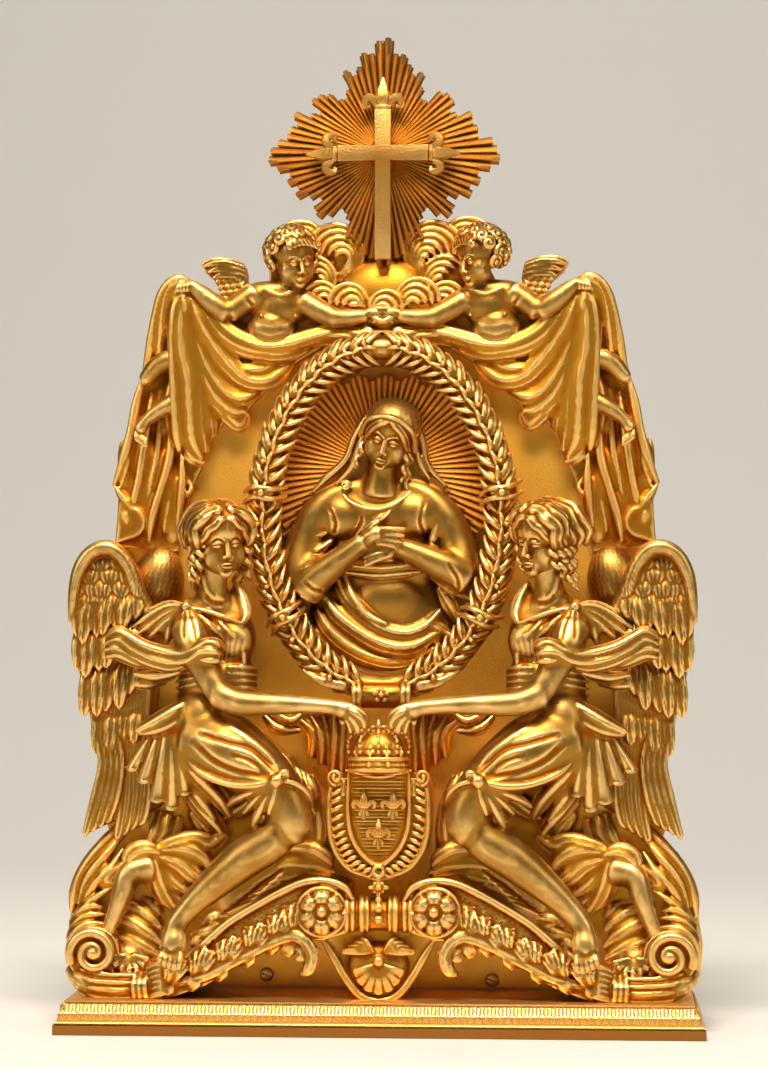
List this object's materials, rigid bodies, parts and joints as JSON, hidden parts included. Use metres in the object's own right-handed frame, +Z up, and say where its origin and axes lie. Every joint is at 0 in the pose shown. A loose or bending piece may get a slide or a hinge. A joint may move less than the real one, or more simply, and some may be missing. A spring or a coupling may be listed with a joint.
{
  "type": "devotional relief",
  "caption": "Upright gilt metal devotional relief on a moulded plinth: oval medallion in a leaf wreath, kneeling winged figures, lifted curtains, clouds, a cross in a glory of rays.",
  "frame": {"origin": "bottom centre of the plinth", "axes": "+Z up, the carved front faces -Y, +X to the viewer's right"},
  "size_m": [0.131, 0.046, 0.2041],
  "materials": {
    "plinth_gilding": "fire gilding, polished on the slab",
    "relief_gilding": "worn matte fire gilding, orange-brown in the recesses",
    "cross_gilding": "brushed gilding",
    "screw_metal": "dark tarnished"
  },
  "bodies": {
    "root": {"plinth": "plinth_gilding", "relief": "relief_gilding", "cross": "cross_gilding", "screw_left": "screw_metal", "screw_right": "screw_metal"}
  },
  "joints": []
}
